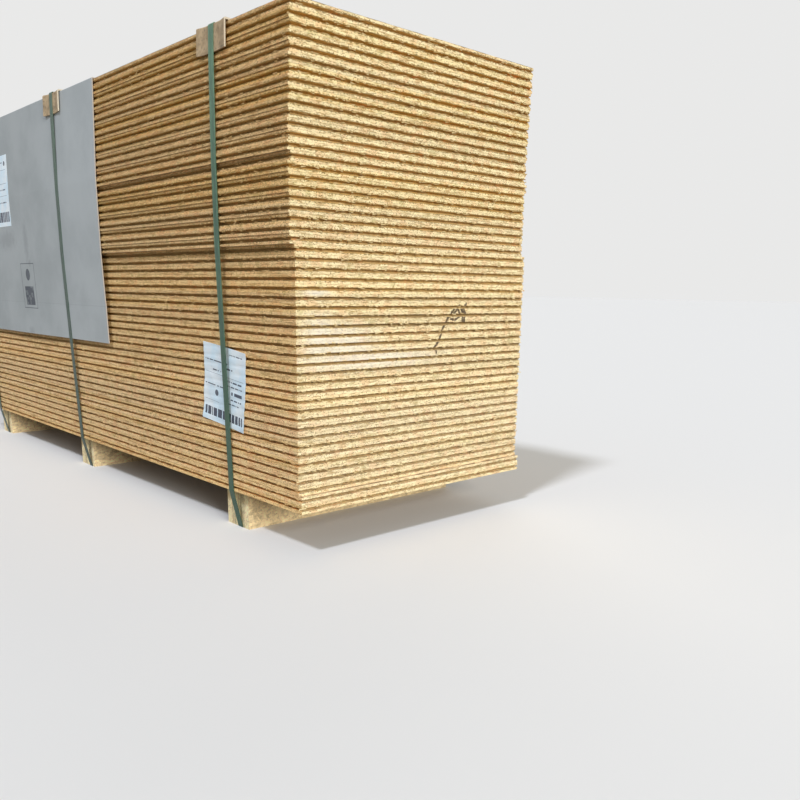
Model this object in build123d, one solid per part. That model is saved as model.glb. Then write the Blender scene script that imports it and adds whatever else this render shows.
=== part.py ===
from build123d import *
import math
import os
import random

# A strapped pack of tongue and groove boards on three bearers, in millimetres.
# X runs along the pack, the grooved long side faces -Y and the grooved short side faces +X.
# The pack is built with its boards centred on X and Y and the bearers' undersides at Z = 0,
# and then moved so that the middle of its outline is over the origin.

# Boards
panel_length = 2050.0
panel_width = 675.0
panel_pitch = 18.0
panel_gap = 0.2
groove_depth = 9.5
groove_mouth = 6.4
groove_floor = 5.6
tongue_side_clearance = 0.2
tongue_end_clearance = 1.0

# The pack is filled in three lots, each laid down a little off the one below
bottom_count = 29
middle_count = 9
top_count = 14
middle_shift = 10.5
top_shift = 1.5
stagger = 2.0
loose_count = 2
loose_shift = 9.5
set_back = {37: 5.0}
jitter = 0.4
jitter_seed = 18

# Bearers: the outer ones from the nearer end of the boards, the middle one from their middle
near_bearer_inset = 265.0
middle_bearer_offset = 92.0
far_bearer_inset = 198.0
bearer_width = 88.0
bearer_height = 88.0
bearer_setback = 20.0

# Straps, placed as the bearers are
near_strap_inset = 255.0
middle_strap_offset = 69.0
far_strap_inset = 210.0
strap_width = 19.0
strap_thickness = 1.0
strap_bend = 3.0
dent_clearance = 0.2

# The strap's own ends lap on the pack's top, where they are welded, and the last of the lap stands off
lap_start = 40.0
weld_length = 45.0
tail_length = 22.0
tail_lift = 2.5

# Edge protectors: short lengths of board angle, pinched by the strap
protector_width = 106.0
protector_leg = 48.0
protector_thickness = 3.5
protector_flat = 24.0
protector_flare = 3.0
protector_lift = 1.0

# Cover sheet
sheet_start = 832.0
sheet_end_margin = 10.0
sheet_thickness = 2.5
sheet_drop = 644.0

# Labels
label_thickness = 0.3
panel_label_width = 169.0
panel_label_height = 172.0
panel_label_tilt = 6.0
panel_label_place = 271.0
panel_label_middle = 231.0
sheet_label_width = 148.0
sheet_label_height = 210.0
sheet_label_place = 1564.0
sheet_label_middle = 723.0

# Play between pieces that lie against each other, and behind a label or under a strap's dent
seat = 0.3
close_seat = 0.1

# How far a cut reaches past what it cuts
cut_margin = 12.0

panel_count = bottom_count + middle_count + top_count
panel_thickness = panel_pitch - panel_gap
tongue_length = groove_depth - tongue_end_clearance
tongue_root = groove_mouth - 2 * tongue_side_clearance
tongue_tip = groove_floor - 2 * tongue_side_clearance
near_end = panel_length / 2
front = -panel_width / 2
back = panel_width / 2
deck = bearer_height
stack_top = deck + panel_count * panel_pitch - panel_gap
middle_floor = deck + bottom_count * panel_pitch
top_floor = middle_floor + middle_count * panel_pitch
lean_floor = top_floor + panel_pitch
sheet_length = panel_length - sheet_start - sheet_end_margin
bearer_places = [
    near_bearer_inset, near_end + middle_bearer_offset, panel_length - far_bearer_inset]
strap_places = [near_strap_inset, near_end + middle_strap_offset, panel_length - far_strap_inset]
dent_depth = strap_thickness + dent_clearance
chance = random.Random(jitter_seed)


def wedge(root, tip, length):
    """Section of a tongue or a groove: root wide at the origin, tip wide at length along X."""
    return make_face(Polyline(
        (0, -root / 2), (length, -tip / 2), (length, tip / 2), (0, root / 2), close=True))


def side_wedge(root, tip, length, run, corner, outward):
    """A tongue or a cutter for a groove, run long, that points outward from the middle of a side."""
    section_plane = Plane(origin=corner, x_dir=outward, z_dir=Vector(*outward).cross(Vector(0, 0, 1)))
    return extrude(section_plane * wedge(root, tip, length), amount=run / 2, both=True)


def tongue_and_groove_panel():
    """One board, its underside at Z = 0, grooved on -Y and +X and tongued on +Y and -X."""
    mid_height = panel_thickness / 2
    board = Pos(0, 0, mid_height) * Box(panel_length, panel_width, panel_thickness)
    board += side_wedge(tongue_root, tongue_tip, tongue_length, panel_length,
                        (0, back, mid_height), (0, 1, 0))
    board += side_wedge(tongue_root, tongue_tip, tongue_length, panel_width,
                        (-near_end, 0, mid_height), (-1, 0, 0))
    board -= side_wedge(groove_mouth, groove_floor, groove_depth, panel_length + cut_margin * 2,
                        (0, front, mid_height), (0, 1, 0))
    board -= side_wedge(groove_mouth, groove_floor, groove_depth, panel_width + cut_margin * 2,
                        (near_end, 0, mid_height), (-1, 0, 0))
    return board.solid()


def front_shift(index):
    """How far a board is pushed towards -Y, by its place from the bottom."""
    if index < bottom_count:
        return 0.0
    first_of_top = bottom_count + middle_count
    odd_or_even = stagger if index % 2 == 0 else 0.0
    if index < first_of_top:
        return middle_shift + odd_or_even
    lean = (index - first_of_top) / max(top_count - 1, 1)
    return middle_shift + (top_shift - middle_shift) * lean + odd_or_even


def end_shift(index):
    """How far a board sticks out at the grooved end."""
    return loose_shift if index < loose_count else 0.0


def lot(first, count, board):
    """The boards of one lot, each with its own small error of laying."""
    pieces = []
    for index in range(first, first + count):
        along = end_shift(index) + chance.uniform(-jitter, jitter)
        across = set_back.get(index, 0.0) - front_shift(index) + chance.uniform(-jitter, jitter)
        pieces.append(Pos(along, across, deck + index * panel_pitch) * board)
    return pieces


# The outline that is tight around the boards, seen along X, in (Y, Z)
reach = jitter + seat
front_top = front - top_shift - stagger - reach
front_middle = front - middle_shift - stagger - reach
front_bottom = front - reach
back_bottom = back + tongue_length + reach
back_top = back_bottom - top_shift
roof = stack_top + seat


def boards_outline():
    """The boards' tight outline as a face in the YZ plane."""
    return outline([
        (front_bottom, deck), (front_middle, middle_floor), (front_middle, lean_floor),
        (front_top, roof), (back_top, roof), (back_bottom, middle_floor), (back_bottom, deck)])


def outline(points):
    """A face in the YZ plane through the points."""
    return Plane.YZ * make_face(Polyline(*points, close=True))


def grown(face, amount):
    """The face, larger by amount all round, with round corners."""
    return offset(face, amount=amount, kind=Kind.ARC)


def window(y_from, y_to, z_from, z_to):
    """A rectangle in the YZ plane."""
    size_y = y_to - y_from
    size_z = z_to - z_from
    return Plane.YZ * Pos((y_from + y_to) / 2, (z_from + z_to) / 2) * Rectangle(size_y, size_z)


def strip(face, middle_from_end, width):
    """The face, extruded to a strip that is width wide along X."""
    return Pos(near_end - middle_from_end, 0, 0) * extrude(face, amount=width / 2, both=True).solid()


def cover_sheet():
    """A sheet folded over the top of the boards and down both long sides."""
    inside = boards_outline()
    ring = grown(inside, sheet_thickness) - inside
    bottom_edge = stack_top - sheet_drop
    kept = window(front_middle - cut_margin, back_bottom + cut_margin, bottom_edge, roof + cut_margin)
    return strip(ring & kept, sheet_start + sheet_length / 2, sheet_length)


def protector_section(base, on_front):
    """The angle's section, tight on the base face at its front or back top edge."""
    ring = grown(base, protector_thickness) - base
    leg = protector_leg
    upper = roof + cut_margin
    if on_front:
        kept = window(front_middle - cut_margin, front_top + leg, roof - leg, upper)
    else:
        kept = window(back_top - leg, back_bottom + cut_margin, roof - leg, upper)
    return ring & kept


def edge_protector(place, base, on_front):
    """A length of angle with a flat middle under the strap and two wings that stand off."""
    section = protector_section(base, on_front)
    piece = strip(section, place, protector_flat)
    outward = -protector_flare if on_front else protector_flare
    wing = (protector_width - protector_flat) / 2
    run = math.sqrt(wing ** 2 + protector_flare ** 2 + protector_lift ** 2)
    for side in (-1, 1):
        start = Pos(near_end - place + side * protector_flat / 2, 0, 0) * section
        piece += extrude(start, amount=run, dir=(side * wing, outward, protector_lift))
    return piece.solid()


def strap_loop(place, base_growth):
    """A closed strap over the protectors, down both sides, round the bearer's ends and under it."""
    over = base_growth + protector_thickness + seat
    leg_end = roof - protector_leg
    lean = (front_top - front_middle) / (roof - lean_floor)
    hang = stack_top - sheet_drop
    slope = (front_middle - front_bottom) / (middle_floor - deck)
    points = [
        (front + bearer_setback - seat, dent_depth - close_seat),
        (front_bottom - seat, deck)]
    if base_growth > 0:
        points.append((front_bottom + slope * (hang - deck) - base_growth - seat, hang))
    points += [
        (front_middle - base_growth - seat, middle_floor),
        (front_middle - base_growth - seat, lean_floor),
        (front_top - lean * protector_leg - over, leg_end),
        (front_top - over, roof + over),
        (back_top + over, roof + over),
        (back_top + over + top_shift * protector_leg / (roof - middle_floor), leg_end),
        (back_bottom + base_growth + seat, middle_floor)]
    if base_growth > 0:
        points.append((back_bottom + base_growth + seat, hang))
    points += [
        (back_bottom + seat, deck + panel_pitch / 2),
        (back - bearer_setback + seat, dent_depth - close_seat)]
    inside = outline(points)
    bends = inside.vertices().filter_by(lambda v: v.Z > roof)
    inside = fillet(bends, strap_bend)
    band = strip(grown(inside, strap_thickness) - inside, place, strap_width)
    return (band + strap_lap(roof + over + strap_thickness, place)).solid()


def strap_lap(band_top, place):
    """The outer end of the strap, welded down on the band and loose for its last stretch."""
    weld_end = lap_start + weld_length
    tail_end = weld_end + tail_length
    lap = outline([
        (lap_start, band_top), (weld_end, band_top), (tail_end, band_top + tail_lift),
        (tail_end, band_top + tail_lift + strap_thickness),
        (weld_end, band_top + strap_thickness), (lap_start, band_top + strap_thickness)])
    return strip(lap, place, strap_width)


def bearer(place, strap_place):
    """One bearer, with the shallow dent that its strap lies in."""
    length = panel_width - 2 * bearer_setback
    block = Pos(near_end - place, 0, bearer_height / 2) * Box(bearer_width, length, bearer_height)
    dent = Box(strap_width + 2 * dent_clearance, length, dent_depth)
    return (block - Pos(near_end - strap_place, 0, dent_depth / 2) * dent).solid()


def panel_label():
    """A label on the front of the bottom lot, tucked behind the first strap."""
    plate = Box(panel_label_width, label_thickness, panel_label_height).solid()
    face = front - jitter - label_thickness / 2 - close_seat
    return Pos(near_end - panel_label_place, face, deck + panel_label_middle) * Rot(
        0, panel_label_tilt, 0) * plate


def sheet_label():
    """A label stuck flat on the front of the cover sheet."""
    base = grown(boards_outline(), sheet_thickness + close_seat)
    ring = grown(base, label_thickness) - base
    low = deck + sheet_label_middle - sheet_label_height / 2
    kept = window(front_middle - cut_margin, front, low, low + sheet_label_height)
    return strip(ring & kept, sheet_label_place, sheet_label_width)


def build_nodes():
    """Every named piece of the pack."""
    board = tongue_and_groove_panel()
    nodes = {}
    nodes["panels_bottom"] = lot(0, bottom_count, board)
    nodes["panels_middle"] = lot(bottom_count, middle_count, board)
    nodes["panels_top"] = lot(bottom_count + middle_count, top_count, board)
    nodes["cover_sheet"] = [cover_sheet()]
    bare = grown(boards_outline(), close_seat)
    covered = grown(boards_outline(), sheet_thickness + close_seat)
    for number, (place, strap_place) in enumerate(zip(bearer_places, strap_places), start=1):
        under_strap = sheet_start < strap_place < sheet_start + sheet_length
        base = covered if under_strap else bare
        growth = sheet_thickness if under_strap else 0.0
        nodes[f"bearer_{number}"] = [bearer(place, strap_place)]
        nodes[f"strap_{number}"] = [strap_loop(strap_place, growth)]
        nodes[f"edge_protector_{number}_front"] = [edge_protector(strap_place, base, True)]
        nodes[f"edge_protector_{number}_back"] = [edge_protector(strap_place, base, False)]
    nodes["panel_label"] = [panel_label()]
    nodes["sheet_label"] = [sheet_label()]
    return nodes


def centring(nodes):
    """The move that puts the middle of the pack's outline over the origin."""
    boxes = [piece.bounding_box() for pieces in nodes.values() for piece in pieces]
    middle_x = (min(box.min.X for box in boxes) + max(box.max.X for box in boxes)) / 2
    middle_y = (min(box.min.Y for box in boxes) + max(box.max.Y for box in boxes)) / 2
    return Pos(-middle_x, -middle_y, -min(box.min.Z for box in boxes))


nodes = build_nodes()
centre = centring(nodes)
os.makedirs("parts", exist_ok=True)
for name, pieces in nodes.items():
    placed = [centre * piece for piece in pieces]
    shape = placed[0] if len(placed) == 1 else Compound(children=placed)
    export_step(shape, f"parts/{name}.step")
    print(name, len(placed))
print("moved by", centre.position)
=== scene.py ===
# %% [markdown]
# A strapped pack of strand boards. The boards, bearers and straps come from the measured frame,
# already at their real size and place. This lesson gives them their finish, and builds the thin
# and crumpled pieces that a measured frame can't hold: the folded cover, the pinched edge
# protectors, the paper labels, the strands on the top board and the splinters on the sawn edges.

# %% Frame
import bmesh
import bpy
import math
from mathutils import Matrix, Vector, noise
from types import SimpleNamespace


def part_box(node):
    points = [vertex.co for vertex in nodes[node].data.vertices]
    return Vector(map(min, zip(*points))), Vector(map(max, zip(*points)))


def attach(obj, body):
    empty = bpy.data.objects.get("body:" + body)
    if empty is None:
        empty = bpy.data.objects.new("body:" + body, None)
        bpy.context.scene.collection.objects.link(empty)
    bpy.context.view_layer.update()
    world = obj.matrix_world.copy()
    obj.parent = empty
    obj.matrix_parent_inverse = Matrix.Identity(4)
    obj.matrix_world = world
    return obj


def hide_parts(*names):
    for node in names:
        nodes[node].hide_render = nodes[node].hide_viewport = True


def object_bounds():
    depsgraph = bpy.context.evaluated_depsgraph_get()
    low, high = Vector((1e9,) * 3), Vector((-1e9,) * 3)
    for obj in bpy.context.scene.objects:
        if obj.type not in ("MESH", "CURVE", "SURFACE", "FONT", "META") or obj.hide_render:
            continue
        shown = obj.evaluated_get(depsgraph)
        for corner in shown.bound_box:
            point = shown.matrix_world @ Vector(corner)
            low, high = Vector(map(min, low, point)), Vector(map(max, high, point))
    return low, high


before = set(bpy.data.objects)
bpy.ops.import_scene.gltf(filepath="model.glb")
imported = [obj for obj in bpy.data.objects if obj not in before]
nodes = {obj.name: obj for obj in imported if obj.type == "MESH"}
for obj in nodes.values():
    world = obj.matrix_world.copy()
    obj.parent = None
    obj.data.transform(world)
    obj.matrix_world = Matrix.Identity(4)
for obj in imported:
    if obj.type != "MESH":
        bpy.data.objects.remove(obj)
cad_box = [list(corner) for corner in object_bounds()]
print("nodes", len(nodes), "box", cad_box)

# %% [markdown]
# Places could be typed in as numbers, but then a change of the pack would leave its finish behind.
# So each one is worked out from the frame. The boards lie at an even pitch on the deck, which is
# the top of the bearers. The grooved long side faces -Y and the grooved short side faces +X.

# %% Places
MM = 0.001
PITCH = 18 * MM
PANELS = ["panels_bottom", "panels_middle", "panels_top"]
STRAPS = ["strap_1", "strap_2", "strap_3"]
BEARERS = ["bearer_1", "bearer_2", "bearer_3"]
PROTECTORS = sorted(name for name in nodes if name.startswith("edge_protector"))
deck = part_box("panels_bottom")[0].z
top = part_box("panels_top")[1].z
top_board = [v.co for v in nodes["panels_top"].data.vertices if v.co.z > top - MM]
top_low = Vector([min(corner[axis] for corner in top_board) for axis in range(3)])
top_high = Vector([max(corner[axis] for corner in top_board) for axis in range(3)])
near_end = top_high.x
front_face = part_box("panels_bottom")[0].y
sheet_low, sheet_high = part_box("cover_sheet")
print("deck", deck, "top", top, "near end", near_end, "front", front_face)

# %% [markdown]
# The camera stands where the picture was taken from. Its place, heading and lens were worked out
# from the straight edges of the pack. The picture is the upper part of a taller one, so the lens is
# shifted up by about a ninth of the picture's width.

# %% Camera
CAMERA_FROM_CORNER = Vector((1279.5, -912.5, 442.6)) * MM
HEADING, TILT, ROLL = 47.098, 14.090, 0.821
PICTURE_WIDTH = 800
FOCAL_LENGTH = 803.8 / PICTURE_WIDTH
LENS_SHIFT = 90.9 / PICTURE_WIDTH
SENSOR = 36.0


def new_object(name, data):
    """An object in the scene, at the origin."""
    made = bpy.data.objects.new(name, data)
    bpy.context.scene.collection.objects.link(made)
    return made


def add_camera():
    """The camera at the photograph's place, from the near bottom corner of the boards."""
    data = bpy.data.cameras.new("camera")
    data.sensor_width = SENSOR
    data.lens = SENSOR * FOCAL_LENGTH
    data.shift_y = LENS_SHIFT
    camera = new_object("camera", data)
    turn = Matrix.Rotation(math.radians(HEADING), 4, "Z")
    turn = turn @ Matrix.Rotation(math.radians(90 - TILT), 4, "X")
    turn = turn @ Matrix.Rotation(math.radians(ROLL), 4, "Z")
    corner = Vector((near_end, front_face, deck))
    camera.matrix_world = Matrix.Translation(corner + CAMERA_FROM_CORNER) @ turn
    bpy.context.scene.camera = camera
    return camera


camera = add_camera()
print("camera at", camera.matrix_world.translation)

# %% [markdown]
# A finish is a formula over a surface, and Blender works it out with a chain of small nodes. A
# chain can be dragged together by hand or added one call at a time, but then nobody can read the
# formula in it. Here a Field stands for the output of a node, and each plain sum on a field adds
# the node that does that sum, so the code below reads as the formula itself.

# %% Fields
SINGLE_RESULTS = ("DOT_PRODUCT", "DISTANCE", "LENGTH")  # on vectors, these give one number


class Field:
    """The output of a node, which changes over the surface."""

    def __init__(self, socket):
        self.socket = socket
        self.tree = socket.id_data

    def __add__(self, other):
        return calc("ADD", self, other)

    def __sub__(self, other):
        return calc("SUBTRACT", self, other)

    def __rsub__(self, other):
        return calc("SUBTRACT", other, self)

    def __mul__(self, other):
        return calc("MULTIPLY", self, other)

    def __truediv__(self, other):
        return calc("DIVIDE", self, other)

    def __lt__(self, other):
        return calc("LESS_THAN", self, other)

    def __gt__(self, other):
        return calc("GREATER_THAN", self, other)

    def __abs__(self):
        return calc("ABSOLUTE", self)


def put(value, socket):
    """A plain value written on an input, or a field linked to it."""
    if isinstance(value, Field):
        value.tree.links.new(value.socket, socket)
    else:
        socket.default_value = value


def add(tree, kind, values=None, **settings):
    """A node with its settings, and its inputs by name or by number."""
    made = tree.nodes.new(kind)
    for key, value in settings.items():
        setattr(made, key, value)
    for key, value in (values or {}).items():
        put(value, made.inputs[key])
    return made


def tree_of(*values):
    """The tree of the first field among the values."""
    return next(value.tree for value in values if isinstance(value, Field))


def calc(operation, *values):
    """The result of an operation on numbers, or on vectors and colours."""
    first = next(value for value in values if isinstance(value, Field))
    is_vector = first.socket.type in ("VECTOR", "RGBA")
    kind = "ShaderNodeVectorMath" if is_vector else "ShaderNodeMath"
    made = add(first.tree, kind, dict(enumerate(values)), operation=operation)
    return Field(made.outputs[1 if operation in SINGLE_RESULTS else 0])


def scaled(vector, factor):
    """A vector or a colour times a number."""
    made = add(vector.tree, "ShaderNodeVectorMath", {0: vector, "Scale": factor}, operation="SCALE")
    return Field(made.outputs[0])


def held(number):
    """The same number, held between 0 and 1."""
    number.socket.node.use_clamp = True
    return number


def parts(vector, which="XYZ"):
    """The three numbers in a vector or a colour, or only those that are named."""
    split = add(vector.tree, "ShaderNodeSeparateXYZ", {0: vector}).outputs
    return [Field(split[name]) for name in which]


def vector_of(x, y, z=0.0):
    """A vector made of three numbers."""
    return Field(add(tree_of(x, y, z), "ShaderNodeCombineXYZ", {0: x, 1: y, 2: z}).outputs[0])


# %% [markdown]
# Nearly every finish mixes two colours by a share, and the share is a random pattern that is eased
# from one range to another. Blender has a node for each of these steps. The helpers here only
# name them, and pick the settings that this pack needs.

# %% Ranges, mixtures and random patterns


def remap(value, low, high, new_low=0.0, new_high=1.0):
    """The value eased from one range to another, and held inside it."""
    made = add(value.tree, "ShaderNodeMapRange", {
        "Value": value, "From Min": low, "From Max": high, "To Min": new_low, "To Max": new_high},
        interpolation_type="SMOOTHSTEP")
    return Field(made.outputs["Result"])


def mix(share, first, second):
    """Two numbers mixed, the second by its share."""
    made = add(tree_of(share, first, second), "ShaderNodeMix", {0: share, 2: first, 3: second})
    return Field(made.outputs[0])


def blend(share, first, second, kind="MIX"):
    """Two colours mixed, the second by its share."""
    made = add(tree_of(share, first, second), "ShaderNodeMix", {0: share, 6: first, 7: second},
               data_type="RGBA", blend_type=kind)
    return Field(made.outputs[2])


def shade(colour, value, saturation=1.0):
    """A colour made lighter or darker, and stronger or greyer."""
    made = add(colour.tree, "ShaderNodeHueSaturation", {
        "Color": colour, "Value": value, "Saturation": saturation})
    return Field(made.outputs[0])


def noise_at(place, scale=1.0, detail=2.0, roughness=0.5, flat=False, output="Fac"):
    """Smooth random numbers around a half. A flat noise has two coordinates."""
    made = add(place.tree, "ShaderNodeTexNoise", {
        "Vector": place, "Scale": scale, "Detail": detail, "Roughness": roughness},
        noise_dimensions="2D" if flat else "3D")
    return Field(made.outputs[output])


def cells_at(place, randomness=1.0, distance="EUCLIDEAN"):
    """Random cells on flat coordinates: three draws for each, and the distance from its middle."""
    made = add(place.tree, "ShaderNodeTexVoronoi", {
        "Vector": place, "Scale": 1.0, "Randomness": randomness},
        voronoi_dimensions="2D", distance=distance)
    return parts(Field(made.outputs["Color"])), Field(made.outputs["Distance"])


def draws_for(number):
    """Three random numbers for each whole number."""
    made = add(number.tree, "ShaderNodeTexWhiteNoise", {"W": number}, noise_dimensions="1D")
    return parts(Field(made.outputs["Color"]))


def window(value, low, high, soft=0.3 * MM):
    """1 while the value lies between two limits."""
    return remap(value, low - soft, low + soft) * remap(value, high - soft, high + soft, 1.0, 0.0)


# %% [markdown]
# Every material has one Principled shader. Its patterns read the object's own coordinates, which
# are the frame's, because every piece lies at the origin. So a pattern stays where it is when the
# pack is looked at from another side or is exported.

# %% Materials


def new_material(name, roughness=0.5, specular=0.5):
    """A material, its tree and its shader."""
    material = bpy.data.materials.new(name)
    material.use_nodes = True
    shader = material.node_tree.nodes["Principled BSDF"]
    shader.inputs["Roughness"].default_value = roughness
    shader.inputs["Specular IOR Level"].default_value = specular
    return material, material.node_tree, shader


def place_of(tree):
    """The place of a point in the frame."""
    return Field(add(tree, "ShaderNodeTexCoord").outputs["Object"])


def normal_of(tree):
    """The way the bare surface looks."""
    return Field(add(tree, "ShaderNodeNewGeometry").outputs["True Normal"])


def paint(shader, colour, height, depth, strength=1.0):
    """Colour and fine relief put on a shader."""
    relief = add(colour.tree, "ShaderNodeBump", {
        "Height": height, "Distance": depth, "Strength": strength})
    put(colour, shader.inputs["Base Color"])
    put(Field(relief.outputs["Normal"]), shader.inputs["Normal"])


def dress(names, material):
    """A finish put on frame nodes."""
    for name in names:
        nodes[name].data.materials.clear()
        nodes[name].data.materials.append(material)
    print(material.name, "on", ", ".join(names))


# %% [markdown]
# The floor has to look pale, yet a pale floor throws light up at the pack and softens its shadows.
# So the floor and the sky have two colours each. The camera sees the pale one, and the pack is lit
# by the darker one.

# %% Floor and sky
FLOOR_SEEN, FLOOR_LIT = (0.815, 0.79, 0.732, 1), (0.27, 0.25, 0.22, 1)
SKY_SEEN, SKY_LIT = (0.815, 0.815, 0.81, 1), (0.25, 0.262, 0.282, 1)
FLOOR_HALF = 60.0


def seen_directly(tree):
    """1 where the camera, or a mirror of it, looks."""
    ray = add(tree, "ShaderNodeLightPath").outputs
    return calc("MAXIMUM", Field(ray["Is Camera Ray"]), Field(ray["Is Glossy Ray"]))


def rectangle(name, low_x, high_x, low_y, high_y, z):
    """A flat mesh between four limits."""
    mesh = bpy.data.meshes.new(name)
    mesh.from_pydata([(low_x, low_y, z), (high_x, low_y, z), (high_x, high_y, z), (low_x, high_y, z)],
                     [], [(0, 1, 2, 3)])
    return mesh


def add_floor():
    """A wide matt floor."""
    mesh = rectangle("floor", -FLOOR_HALF, FLOOR_HALF, -FLOOR_HALF, FLOOR_HALF, 0)
    floor = new_object("floor", mesh)
    material, tree, shader = new_material("floor_paint", roughness=0.9, specular=0.0)
    put(blend(seen_directly(tree), FLOOR_LIT, FLOOR_SEEN), shader.inputs["Base Color"])
    mesh.materials.append(material)


def add_sky():
    """An even sky all round."""
    world = bpy.data.worlds.new("studio")
    world.use_nodes = True
    bpy.context.scene.world = world
    colour = blend(seen_directly(world.node_tree), SKY_LIT, SKY_SEEN)
    put(colour, world.node_tree.nodes["Background"].inputs["Color"])


add_floor()
add_sky()
bpy.context.scene.view_settings.view_transform = "Standard"
print("floor", 2 * FLOOR_HALF, "m wide")

# %% [markdown]
# A low broad light from the right makes the short face bright and reaches a little way into its
# grooves. A steeper, weaker and bluer one rakes down the long face, so that each board that stands
# proud shades the one below. A faint one comes from behind. Area lamps could do this too, but they
# fall off with distance. Sun lamps light the whole floor alike, so it stays one plain tone.

# %% Lamps
SUNS = {  # direction from the pack, strength, softness in degrees, colour
    "low_light": ((0.90, -0.18, 0.31), 0.86, 24, (1.0, 0.99, 0.97)),
    "raking_light": ((0.12, -0.52, 0.85), 0.47, 7, (0.95, 1.03, 1.22)),
    "rear_light": ((-0.62, 0.60, 0.50), 0.20, 40, (1.0, 1.0, 1.0))}


def add_sun(name, towards, strength, softness, colour):
    """A sun lamp in a direction from the pack, soft by an angle in degrees."""
    data = bpy.data.lights.new(name, "SUN")
    data.color = colour
    data.energy = strength * math.pi
    data.angle = math.radians(softness)
    lamp = new_object(name, data)
    lamp.rotation_euler = Vector(towards).to_track_quat("Z", "Y").to_euler()


for name, settings in SUNS.items():
    add_sun(name, *settings)
print("lamps", ", ".join(SUNS))

# %% [markdown]
# A pattern that more than one finish uses is a node group: it is built once, and each material
# that places it gives it other values. A group opens with named inputs and closes with named
# outputs.

# %% Node groups


def open_group(name, inputs):
    """A new group's inputs as fields, from their names and kinds."""
    tree = bpy.data.node_groups.new(name, "ShaderNodeTree")
    for socket, kind in inputs.items():
        tree.interface.new_socket(socket, in_out="INPUT", socket_type="NodeSocket" + kind)
    entry = tree.nodes.new("NodeGroupInput").outputs
    return {socket: Field(entry[socket]) for socket in inputs}


def close_group(outputs):
    """The group that the fields belong to, with an output for each."""
    tree = tree_of(*outputs.values())
    for socket, field in outputs.items():
        kind = "Float" if field.socket.type == "VALUE" else "Color"
        tree.interface.new_socket(socket, in_out="OUTPUT", socket_type="NodeSocket" + kind)
    leave = tree.nodes.new("NodeGroupOutput").inputs
    for socket, field in outputs.items():
        put(field, leave[socket])
    print("group", tree.name, len(tree.nodes), "nodes")
    return tree


def use_group(group, values):
    """The outputs of a group that is placed among other nodes."""
    made = add(tree_of(*values.values()), "ShaderNodeGroup", node_tree=group)
    for socket, value in values.items():
        put(value, made.inputs[socket])
    return {socket.name: Field(socket) for socket in made.outputs}


# %% [markdown]
# Strand board is made of long thin flakes of wood, pressed in layers. On its face they overlap at
# many angles. A picture of a board would repeat and blur, so the pattern is worked out: several
# layers of stretched random cells, each layer turned another way, and a higher layer hides the
# ones below wherever a cell is present. Every cell has its own tone, and a grain along its length.

# %% Strands on a face
FACE_LAYERS = [(12, 1.0), (-31, 0.6), (64, 0.4), (-6, 0.55)]  # turn in degrees, share of cells present
LAYER_SHIFT = 7.3
STRAND_RIM, STRAND_RIM_TONE = (0.38, 0.6), 0.6
GRAIN_ALONG, GRAIN_ACROSS, GRAIN_SWING, GRAIN_HEIGHT = 2.2, 18.0, 0.6, 0.3


def face_layer(entry, layer, angle):
    """The tone, a random pick and the grain of one layer's strands."""
    turned = add(entry["Along"].tree, "ShaderNodeVectorRotate", {
        "Vector": vector_of(entry["Along"], entry["Across"]), "Angle": math.radians(angle)},
        rotation_type="Z_AXIS")
    x, y = parts(Field(turned.outputs[0]), "XY")
    long_way = x / entry["Length"] + entry["Seed"]
    short_way = y / entry["Width"] + layer * LAYER_SHIFT
    draws, distance = cells_at(vector_of(long_way, short_way), 0.9, "CHEBYCHEV")
    grain = noise_at(vector_of(long_way * GRAIN_ALONG, short_way * GRAIN_ACROSS), flat=True)
    tone = (grain - 0.5) * GRAIN_SWING + draws[0]
    return tone * remap(distance, *STRAND_RIM, 1.0, STRAND_RIM_TONE), draws[1], grain


def face_strands():
    """Overlapping strands on a face, for a pair of coordinates in metres."""
    entry = open_group("face_strands", {
        "Along": "Float", "Across": "Float", "Length": "Float", "Width": "Float", "Seed": "Float"})
    tone, height = 0.5, 0.0
    for layer, (angle, presence) in enumerate(FACE_LAYERS):
        own, pick, grain = face_layer(entry, layer, angle)
        present = pick < presence
        tone = mix(present, tone, own)
        height = mix(present, height, grain * GRAIN_HEIGHT + layer / len(FACE_LAYERS))
    return close_group({"Tone": tone, "Height": height})


FACE_STRANDS = face_strands()

# %% [markdown]
# On a sawn edge the same strands show as thin streaks, one above the other, with small dark gaps
# where they didn't close in the press. Streaks run long where the strands lie along the edge, and
# short where the saw went across them. Straight stripes would look printed, so a slow wave bends
# them, because the layers of a real board aren't flat.

# %% Strands on a sawn edge
STREAKS = [(0.9 * MM, 0.6), (2.6 * MM, 1.0)]  # thickness, share of the strands' length
GAP_LENGTH, GAP_HEIGHT, GAP_SHARE, GAP_RIM = 4 * MM, 1.5 * MM, 0.14, (0.22, 0.42)
WAVES_ALONG, WAVES_UP, WAVE_DEPTH = 42.0, 110.0, 5 * MM


def edge_strands():
    """Streaks and gaps on a sawn edge, from the way along it and the height in the board."""
    entry = open_group("edge_strands", {
        "Along": "Float", "Up": "Float", "Length": "Float", "Seed": "Float"})
    along = entry["Along"] + entry["Seed"]
    wave = noise_at(vector_of(along * WAVES_ALONG, entry["Up"] * WAVES_UP), flat=True)
    bent = (wave - 0.5) * WAVE_DEPTH + entry["Up"]
    tones = []
    for thickness, share in STREAKS:
        draws = cells_at(vector_of(along / entry["Length"] / share, bent / thickness))[0]
        tones.append(draws[0])
    draws, distance = cells_at(vector_of(along / GAP_LENGTH, bent / GAP_HEIGHT))
    gap = remap(distance, *GAP_RIM, 1.0, 0.0) * (draws[1] < GAP_SHARE)
    return close_group({"Tone": mix(0.5, *tones), "Gap": gap})


EDGE_STRANDS = edge_strands()

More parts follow.
